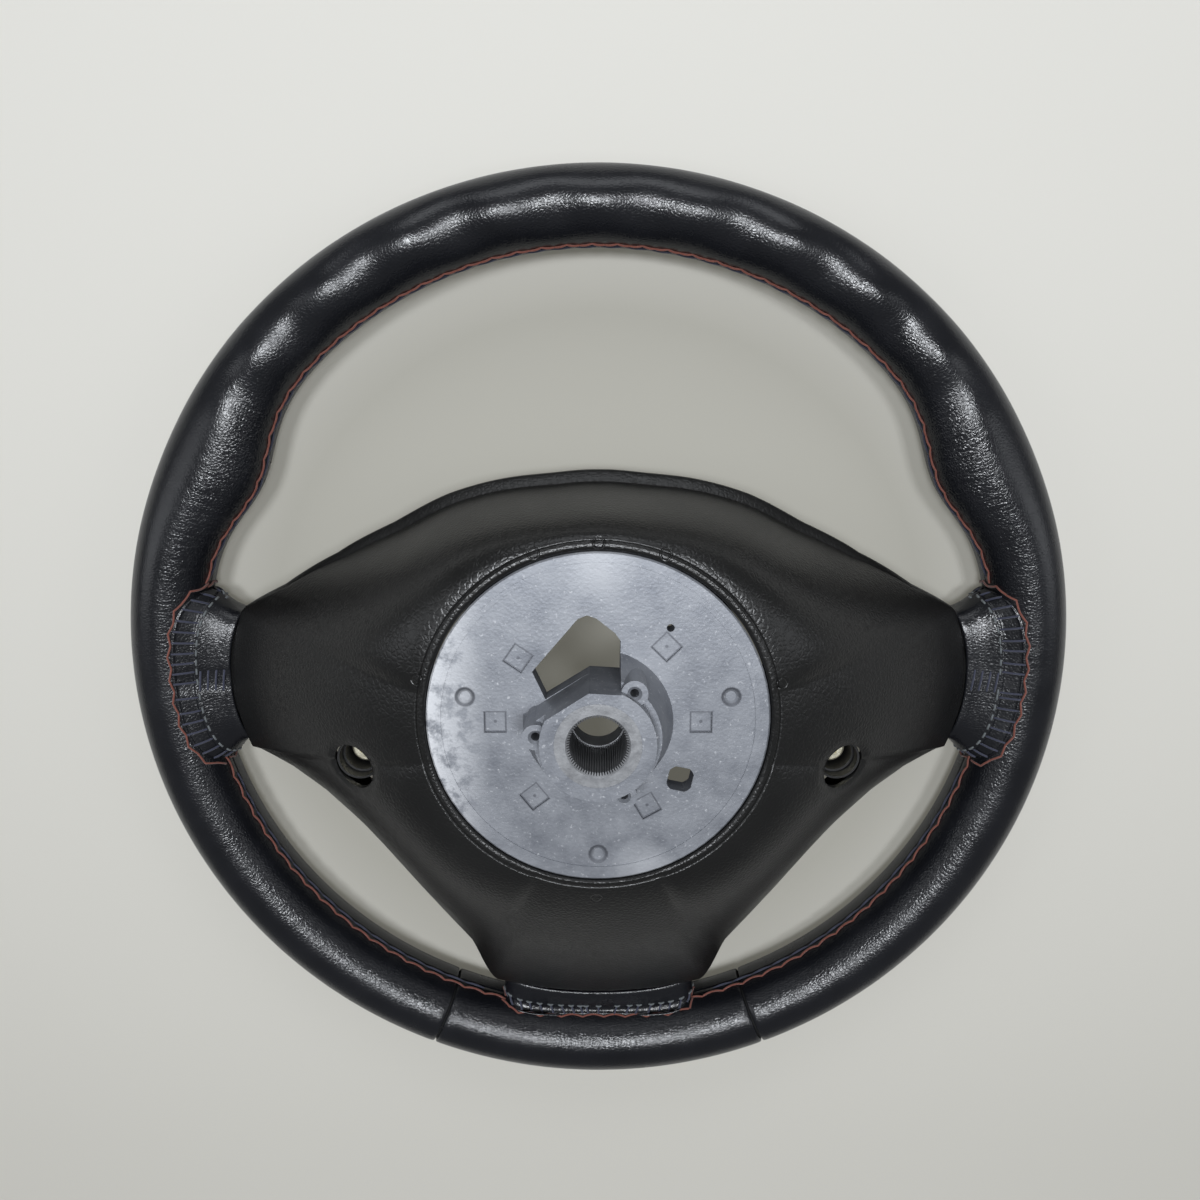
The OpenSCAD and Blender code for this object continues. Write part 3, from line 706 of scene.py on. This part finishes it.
# rows from the spoke cover at 0 to the rim at 1, close together where the leather ends and at the bead
loftShares = [0, 0.02, 0.05, 0.1, 0.16, 0.23, 0.3, 0.37, 0.44, 0.51, 0.56, 0.59, 0.61, 0.625, 0.635, 0.65,
              0.68, 0.72, 0.77, 0.82, 0.86, 0.89, 0.91, 0.925, 0.94, 0.955, 0.97, 0.985, 1]


def signedPower(v, p):
    return math.copysign(abs(v) ** p, v)


def loopPlace(look, q, grow=0.0):
    # angles on the rim of one point of a collar's loop
    c, s = signedPower(math.cos(q), collarLook["round"]), signedPower(math.sin(q), collarLook["round"])
    reach = look["reach"] + look["flare"] * c * c + grow * 1.2
    return look["centre"] + (look["half"] + grow) * c, 180 - s * reach


def collarGrid(look):
    # rows of points from the spoke cover to the rim, with their outward directions
    turn = Matrix.Rotation(math.radians(look["axis"]), 3, "Z")
    outDir = turn @ Vector((1, 0, 0))
    n = collarLook["around"]
    lowZ, highZ = wheel["frontHeight"], collarLook["endTop"]
    ends = []
    for k in range(n):
        q = 2 * math.pi * k / n
        a, b = loopPlace(look, q)
        across = signedPower(math.cos(q), 0.5)
        y = look["shift"] + (look["wide"] / 2 - collarLook["sideGap"]) * across
        z = (lowZ + highZ) / 2 + (highZ - lowZ) / 2 * signedPower(math.sin(q), 0.45)
        x = wheel["spokeEnd"] + wheel["grooveWidth"] - wheel["spokeBow"] * across * across
        ends.append((turn @ Vector((x, y, z)), rimPoint(a, b, -collarLook["standOff"]), rimNormal(a, b)))
    rows = []
    for u in loftShares:
        w = 1 - u
        row = []
        for p0, p3, normal in ends:
            reachOut = (p3 - p0).length * 0.42
            flat = -outDir - normal * (-outDir).dot(normal)
            p1 = p0 + outDir * reachOut
            p2 = p3 + (flat.normalized() if flat.length > 0.2 else -outDir) * reachOut * 0.8
            row.append(p0 * w ** 3 + p1 * 3 * w * w * u + p2 * 3 * w * u * u + p3 * u ** 3)
        rows.append(row)
    ups = []
    for j, row in enumerate(rows):
        before, after = rows[max(0, j - 1)], rows[min(len(rows) - 1, j + 1)]
        middle = sum(row, Vector()) / n
        line = []
        for k in range(n):
            up = (after[k] - before[k]).cross(row[(k + 1) % n] - row[k - 1])
            up = up.normalized() if up.length > 1e-12 else (row[k] - middle).normalized()
            line.append(up if up.dot(row[k] - middle) > 0 else -up)
        ups.append(line)
    return turn, rows, ups


def collarPiece(name, look):
    turn, rows, ups = collarGrid(look)
    back = turn.transposed()
    n = collarLook["around"]
    shaped = []
    for u, row, line in zip(loftShares, rows, ups):
        lift = collarLook["leather"] * soft(u / 0.04)
        lift *= 1 - soft((u - collarLook["edgeAt"]) / collarLook["edgeWidth"])
        lift += collarLook["bead"] * math.exp(-((u - collarLook["beadAt"]) / collarLook["beadWidth"]) ** 2)
        level = []
        for p, up in zip(row, line):
            local = back @ p
            slit = 0.0
            if up.z > 0.3:
                off = (local.y - look["slitAt"]) / collarLook["slitWidth"]
                slit = collarLook["slit"] * math.exp(-off * off) * (1 - soft((u - 0.9) / 0.08))
            level.append(p + up * (lift - slit))
        shaped.append(level)
    outDir = turn @ Vector((1, 0, 0))
    middle = sum(rows[0], Vector()) / n
    turned = [p - (p - middle).normalized() * 1.6 * mm + outDir * 1.4 * mm for p in rows[0]]
    folded = [p - (p - middle).normalized() * 0.5 * mm + outDir * 0.1 * mm for p in rows[0]]
    buried = [p - up * 0.7 * mm for p, up in zip(rows[-1], ups[-1])]
    points = [p for row in [turned, folded] + shaped + [buried] for p in row]
    piece = meshObject(name, points, gridFaces(len(shaped) + 3, n, closeCols=True))
    outward(piece)
    solid = piece.modifiers.new("wall", "SOLIDIFY")
    solid.thickness = collarLook["wall"]
    solid.offset = -1
    plainMesh(piece)
    layer = piece.data.attributes.new("worn", "FLOAT", "POINT")
    layer.data.foreach_set("value", [collarLook["worn"]] * len(piece.data.vertices))
    return finished(piece, rimLeather, "rim_leather", look["node"])


for name, look in collars.items():
    collarPiece(name, look)
print("collars made")


# foam under the leather, seen only in the seams
foamLook = {"sectionSteps": 40, "steps": 240, "sink": 1.6 * mm, "collarSink": 1.7 * mm}


def foamPiece():
    n, steps = foamLook["sectionSteps"], foamLook["steps"]
    sink = foamLook["sink"]
    points = [rimPoint(360 * i / steps, 360 * k / n, sink) for i in range(steps) for k in range(n)]
    faces = gridFaces(steps, n, True, True)
    for look in collars.values():
        rows, ups = collarGrid(look)[1:]
        first = len(points)
        shrunk = [[p - up * foamLook["collarSink"] for p, up in zip(row, line)]
                  for row, line in zip(rows[2::3], ups[2::3])]
        m = collarLook["around"]
        points += [p for row in shrunk for p in row]
        faces += [tuple(first + v for v in face) for face in gridFaces(len(shrunk), m, closeCols=True)]
        faces.append(tuple(first + k for k in range(m)))
        faces.append(tuple(first + (len(shrunk) - 1) * m + k for k in reversed(range(m))))
    piece = meshObject("foamCore", points, faces)
    outward(piece)
    return finished(piece, blackFoam, "foam", "rim_foam")


foamPiece()
print("foam made")


# stitches, set along rows of points
def stitchTree():
    tree = bpy.data.node_groups.new("stitchRow", "GeometryNodeTree")
    face = tree.interface
    face.new_socket("Geometry", in_out="INPUT", socket_type="NodeSocketGeometry")
    for name in ("Length", "Radius", "Slant", "Sink"):
        face.new_socket(name, in_out="INPUT", socket_type="NodeSocketFloat")
    face.new_socket("Material", in_out="INPUT", socket_type="NodeSocketMaterial")
    face.new_socket("Geometry", in_out="OUTPUT", socket_type="NodeSocketGeometry")
    new, join = tree.nodes.new, tree.links.new
    start, end = new("NodeGroupInput"), new("NodeGroupOutput")

    def vector(x, z):
        node = new("ShaderNodeCombineXYZ")
        if x is not None:
            join(x, node.inputs["X"])
        join(z, node.inputs["Z"])
        return node.outputs[0]

    halfLength = maths(tree, "MULTIPLY", start.outputs["Length"], 0.5)
    down = maths(tree, "MULTIPLY", start.outputs["Sink"], -1)
    bow = new("GeometryNodeCurveQuadraticBezier")
    bow.inputs["Resolution"].default_value = 6
    join(vector(maths(tree, "MULTIPLY", halfLength, -1), down), bow.inputs["Start"])
    join(vector(None, maths(tree, "MULTIPLY", start.outputs["Radius"], 1.6)), bow.inputs["Middle"])
    join(vector(halfLength, down), bow.inputs["End"])
    ring = new("GeometryNodeCurvePrimitiveCircle")
    ring.inputs["Resolution"].default_value = 7
    join(start.outputs["Radius"], ring.inputs["Radius"])
    tube = new("GeometryNodeCurveToMesh")
    tube.inputs["Fill Caps"].default_value = True
    join(bow.outputs["Curve"], tube.inputs["Curve"])
    join(ring.outputs["Curve"], tube.inputs["Profile Curve"])

    def named(name):
        node = new("GeometryNodeInputNamedAttribute")
        node.data_type = "FLOAT_VECTOR"
        node.inputs["Name"].default_value = name
        return node.outputs["Attribute"]

    alongRow = new("FunctionNodeAlignRotationToVector")
    alongRow.axis = "X"
    join(named("run"), alongRow.inputs["Vector"])
    upRow = new("FunctionNodeAlignRotationToVector")
    upRow.axis = "Z"
    upRow.pivot_axis = "X"
    join(alongRow.outputs[0], upRow.inputs["Rotation"])
    join(named("up"), upRow.inputs["Vector"])
    parity = maths(tree, "PINGPONG", new("GeometryNodeInputIndex").outputs[0], 1)
    side = maths(tree, "SUBTRACT", maths(tree, "MULTIPLY", parity, 2), 1)
    spin = new("FunctionNodeAxisAngleToRotation")
    spin.inputs["Axis"].default_value = (0, 0, 1)
    join(maths(tree, "MULTIPLY", side, start.outputs["Slant"]), spin.inputs["Angle"])
    turn = new("FunctionNodeRotateRotation")
    turn.rotation_space = "LOCAL"
    join(upRow.outputs[0], turn.inputs["Rotation"])
    join(spin.outputs[0], turn.inputs["Rotate By"])
    place = new("GeometryNodeInstanceOnPoints")
    join(start.outputs["Geometry"], place.inputs["Points"])
    join(tube.outputs["Mesh"], place.inputs["Instance"])
    join(turn.outputs[0], place.inputs["Rotation"])
    join(named("stretch"), place.inputs["Scale"])
    real = new("GeometryNodeRealizeInstances")
    join(place.outputs["Instances"], real.inputs["Geometry"])
    paint = new("GeometryNodeSetMaterial")
    join(real.outputs["Geometry"], paint.inputs["Geometry"])
    join(start.outputs["Material"], paint.inputs["Material"])
    join(paint.outputs["Geometry"], end.inputs["Geometry"])
    return tree


rowOfStitches = stitchTree()


def evenly(path, step):
    # points on a path at even steps, with their directions
    lengths = [0.0]
    for a, b in zip(path, path[1:]):
        lengths.append(lengths[-1] + (b[0] - a[0]).length)
    count = max(1, int(lengths[-1] / step))
    out, i = [], 0
    for k in range(count + 1):
        want = lengths[-1] * k / count
        while i < len(lengths) - 2 and lengths[i + 1] < want:
            i += 1
        u = (want - lengths[i]) / max(1e-9, lengths[i + 1] - lengths[i])
        p = path[i][0].lerp(path[i + 1][0], u)
        up = path[i][1].lerp(path[i + 1][1], u).normalized()
        out.append((p, (path[i + 1][0] - path[i][0]).normalized(), up))
    return out


def stitchPiece(name, rows, look, material, *nodes):
    # rows of (point, run, up) or (point, run, up, share of the length)
    points = [r for row in rows for r in row]
    piece = meshObject(name, [r[0] for r in points], [])
    stretch = [(r[3] if len(r) > 3 else 1, 1, 1) for r in points]
    runs, ups = [r[1] for r in points], [r[2] for r in points]
    for key, values in (("run", runs), ("up", ups), ("stretch", stretch)):
        layer = piece.data.attributes.new(key, "FLOAT_VECTOR", "POINT")
        layer.data.foreach_set("vector", [c for v in values for c in v])
    row = piece.modifiers.new("row", "NODES")
    row.node_group = rowOfStitches
    values = {"Length": look["length"], "Radius": look["radius"], "Slant": look["slant"],
              "Sink": look["sink"], "Material": material}
    for item in rowOfStitches.interface.items_tree:
        if item.item_type == "SOCKET" and item.in_out == "INPUT" and item.name in values:
            row[item.identifier] = values[item.name]
    plainMesh(piece)
    piece.data.polygons.foreach_set("use_smooth", [True] * len(piece.data.polygons))
    return finished(piece, material, "thread", *nodes)


seamLook = {"step": 4.7 * mm, "length": 5.3 * mm, "radius": 0.42 * mm, "slant": 0.26, "sink": 0.3 * mm,
            "sectionAngle": 167.0, "lift": 0.25 * mm, "grow": 0.9, "over": 1.1, "pathAngle": 0.1}
crossLook = {"step": 9.4 * mm, "sectionAngle": 176.0, "lift": 0.15 * mm, "clear": 1.12}
rungLook = {"step": 4.7 * mm, "length": 9 * mm, "radius": 0.44 * mm, "slant": 0.0, "sink": 0.3 * mm,
            "shares": (0.59, 0.82, 0.985)}
dotLook = {"length": 2.2 * mm, "radius": 0.42 * mm, "slant": 0.0, "sink": 0.3 * mm}
slitLook = {"shares": (0.1, 0.23, 0.37, 0.51), "length": 8.8 * mm, "lift": 0.55 * mm, "lean": 0.12}


def nearestCollar(a):
    # how far along a collar an angle is, from 0 in its middle to 1 at its ends
    best = min(collars.values(), key=lambda look: abs((a - look["centre"] + 180) % 360 - 180) / look["half"])
    return best, abs((a - best["centre"] + 180) % 360 - 180) / (best["half"] + seamLook["grow"])


def seamAngle(a):
    # the seam leaves the inner edge and passes behind each spoke root
    look, c = nearestCollar(a)
    b = seamLook["sectionAngle"]
    if c < 1:
        s = (1 - c ** (2 / collarLook["round"])) ** (collarLook["round"] / 2)
        b = min(b, 180 - s * (look["reach"] + seamLook["over"] + look["flare"] * c * c))
    return b


def rimPath(a0, a1, angleAt, lift):
    count = int((a1 - a0) / seamLook["pathAngle"])
    path = []
    for i in range(count + 1):
        a = a0 + (a1 - a0) * i / count
        path.append((rimPoint(a, angleAt(a), -lift), rimNormal(a, angleAt(a))))
    return path


def frontPath(look):
    # the red line in front of a spoke root
    path = []
    for i in range(81):
        a, b = loopPlace(look, math.pi * (1 + i / 80), seamLook["grow"])
        path.append((rimPoint(a, b, -seamLook["lift"]), rimNormal(a, b)))
    return path


redRows = [evenly(rimPath(-90, 270, seamAngle, seamLook["lift"]), seamLook["step"])]
redRows += [evenly(frontPath(look), seamLook["step"]) for look in collars.values()]
stitchPiece("rimSeamThread", redRows, seamLook, rustThread, "rim_thread")


def crossStitches():
    # slate stitches beside the red seam, left out at the collars
    path = rimPath(-90, 270, lambda a: crossLook["sectionAngle"], crossLook["lift"])
    row = evenly(path, crossLook["step"])
    places = [math.degrees(math.atan2(r[0].y, r[0].x)) for r in row]
    return [r for r, a in zip(row, places) if nearestCollar(a)[1] > crossLook["clear"]]


def collarThreads(look):
    # cross threads over the channel, and short pale stitches along the leather's edge
    rows, ups = collarGrid(look)[1:]
    n = collarLook["around"]
    inner, middle, outer = (loftShares.index(share) for share in rungLook["shares"])
    steps = [(rows[middle][(k + 1) % n] - rows[middle][k]).length for k in range(n)]
    rungs, dots, travelled, index = [], [], 0.0, 0
    length = sum(steps)
    count = int(length / rungLook["step"])
    for k in range(n):
        if travelled >= index * length / count - 1e-9:
            index += 1
            p = rows[inner][k] + ups[inner][k] * 0.35 * mm
            q = rows[outer][k] + ups[outer][k] * 0.25 * mm
            rungs.append(((p + q) / 2 + ups[middle][k] * 0.1 * mm, (q - p).normalized(), ups[middle][k],
                          (q - p).length / rungLook["length"]))
            run = (rows[inner][(k + 1) % n] - rows[inner][k - 1]).normalized()
            dots.append((rows[inner - 1][k] + ups[inner - 1][k] * 0.6 * mm, run, ups[inner - 1][k]))
        travelled += steps[k]
    return rungs, dots


def slitRungs(look):
    # threads that close the slit of a collar
    turn, rows, ups = collarGrid(look)
    back = turn.transposed()
    run = turn @ Vector((slitLook["lean"], 1, 0)).normalized()
    stretch = slitLook["length"] / rungLook["length"]
    made = []
    for share in slitLook["shares"]:
        j = loftShares.index(share)
        above = [k for k in range(collarLook["around"]) if ups[j][k].z > 0.3]
        k = min(above, key=lambda k: abs((back @ rows[j][k]).y - look["slitAt"]))
        made.append((rows[j][k] + ups[j][k] * slitLook["lift"], run, ups[j][k], stretch))
    return made


slateRows, paleRows = [crossStitches()], []
for name, look in collars.items():
    rungs, dots = collarThreads(look)
    slateRows.append(rungs)
    paleRows.append(dots)
    if look["flare"] == 0:
        slateRows.append(slitRungs(look))
stitchPiece("slateCrossThread", slateRows, rungLook, slateThread)
stitchPiece("paleEdgeThread", paleRows, dotLook, paleThread)
print("stitches made")


# the pieces that keep their own shape
kept = {
    "armature": castAlloy, "splined_bush": bushSteel, "rim_core": coreSteel,
    "screw_sleeve_left": blackPlastic, "screw_sleeve_right": blackPlastic,
    "airbag_screw_left": zincPlate, "airbag_screw_right": zincPlate,
    "screw_spring_left": springSteel, "screw_spring_right": springSteel,
    "screw_clip_left": springSteel, "screw_clip_right": springSteel,
}
for node, material in kept.items():
    piece = frame["nodes"][node]
    piece.data.materials.clear()
    piece.data.materials.append(material)

# floor, light and camera
stageLook = {
    # painted shade under the wheel: its colour and the radii where it fades out
    "under": (0.3, 0.292, 0.262), "shadeFrom": 0.14, "shadeTo": 0.2,
    # painted light falloff: the floor is paler toward +Y, then the camera-ray glow
    "low": (0.46, 0.448, 0.415), "top": (0.575, 0.563, 0.53), "fade": 0.25, "glow": (0.11, 0.107, 0.09),
    "world": (0.82, 0.83, 0.85), "worldLight": 0.19, "lampColour": (0.93, 0.96, 1.0),
    "floorSize": 8, "floorGap": 0.5 * mm,
}
# place, aim, size and power of each soft lamp
lamps = {
    "windowAboveLeft": ((-0.2, 0.16, 1.25), (-0.05, 0.1, 0.05), (0.24, 0.22), 8.0),
    "windowAboveRight": ((0.25, 0.14, 1.25), (0.05, 0.1, 0.05), (0.2, 0.22), 6.0),
    "windowTop": ((0.0, 1.5, 1.0), (0, 0, 0.05), (1.6, 0.6), 6),
    "windowLeft": ((-1.3, 0.1, 0.9), (0, 0, 0.05), (0.5, 0.9), 2),
    "windowRight": ((1.3, 0.1, 0.9), (0, 0, 0.05), (0.5, 0.9), 2),
}
bpy.ops.mesh.primitive_plane_add(size=stageLook["floorSize"], location=(0, 0, -stageLook["floorGap"]))
floor = bpy.context.object
floor.name = "floor"
floorMaterial, floorTree, floorShader = newMaterial("floor")
floorPlace = floorTree.nodes.new("ShaderNodeTexCoord")
floorSplit = floorTree.nodes.new("ShaderNodeSeparateXYZ")
link(floorTree, floorPlace.outputs["Object"], floorSplit.inputs["Vector"])
# painted light falloff: the floor's colour is paler toward +Y, the top of the view, as if lit from above
across = ramp(floorTree, floorSplit.outputs["Y"], -stageLook["fade"], stageLook["fade"])
floorWithPaintedFalloff = tinted(floorTree, across, stageLook["low"], stageLook["top"])
# painted shade: the floor's colour darkens inside the rim, under the wheel, standing in for the wheel's
# shadow
away = awayFrom(floorTree, floorPlace.outputs["Object"], (0, 0))
clearOfPaintedShade = ramp(floorTree, away, stageLook["shadeFrom"], stageLook["shadeTo"])
link(floorTree, tinted(floorTree, clearOfPaintedShade, stageLook["under"], floorWithPaintedFalloff), floorShader.inputs["Base Color"])
floorShader.inputs["Roughness"].default_value = 0.9
seen = floorTree.nodes.new("ShaderNodeLightPath")
floorShader.inputs["Emission Color"].default_value = (*stageLook["glow"], 1)
link(floorTree, seen.outputs["Is Camera Ray"], floorShader.inputs["Emission Strength"])
floor.data.materials.append(floorMaterial)

world = bpy.data.worlds.new("softRoom")
bpy.context.scene.world = world
world.use_nodes = True
world.node_tree.nodes["Background"].inputs["Color"].default_value = (*stageLook["world"], 1)
world.node_tree.nodes["Background"].inputs["Strength"].default_value = stageLook["worldLight"]


def softLamp(name, place, aim, size, power):
    lamp = bpy.data.lights.new(name, "AREA")
    lamp.shape = "RECTANGLE"
    lamp.size, lamp.size_y = size
    lamp.energy = power
    lamp.color = stageLook["lampColour"]
    holder = bpy.data.objects.new(name, lamp)
    bpy.context.scene.collection.objects.link(holder)
    holder.location = place
    holder.rotation_euler = (Vector(aim) - Vector(place)).to_track_quat("-Z", "Y").to_euler()


for name, (place, aim, size, power) in lamps.items():
    softLamp(name, place, aim, size, power)

# fitted to the photo: focal length in its pixels, tilt in degrees, and where it stands over the rim's middle
cameraLook = {"focal": 900.0, "imageWidth": 1200, "sensor": 36, "distance": 373.1 * mm, "tilt": 12.2,
              "sideways": 0.62 * mm, "up": 24.5 * mm}
camera = bpy.data.cameras.new("photoView")
camera.sensor_width = cameraLook["sensor"]
camera.lens = cameraLook["sensor"] * cameraLook["focal"] / cameraLook["imageWidth"]
camera.clip_start = 0.01
holder = bpy.data.objects.new("photoView", camera)
bpy.context.scene.collection.objects.link(holder)
tilt = math.radians(cameraLook["tilt"])
right = Vector((1, 0, 0))
up = Vector((0, math.cos(tilt), -math.sin(tilt)))
back = Vector((0, math.sin(tilt), math.cos(tilt)))
spot = back * cameraLook["distance"] + up * cameraLook["up"] + right * cameraLook["sideways"]
spot += Vector((0, 0, midHeight))
holder.matrix_world = Matrix((
    (right.x, up.x, back.x, spot.x), (right.y, up.y, back.y, spot.y),
    (right.z, up.z, back.z, spot.z), (0, 0, 0, 1)))
bpy.context.scene.camera = holder
bpy.context.scene.view_settings.view_transform = "Standard"
print("stage made")
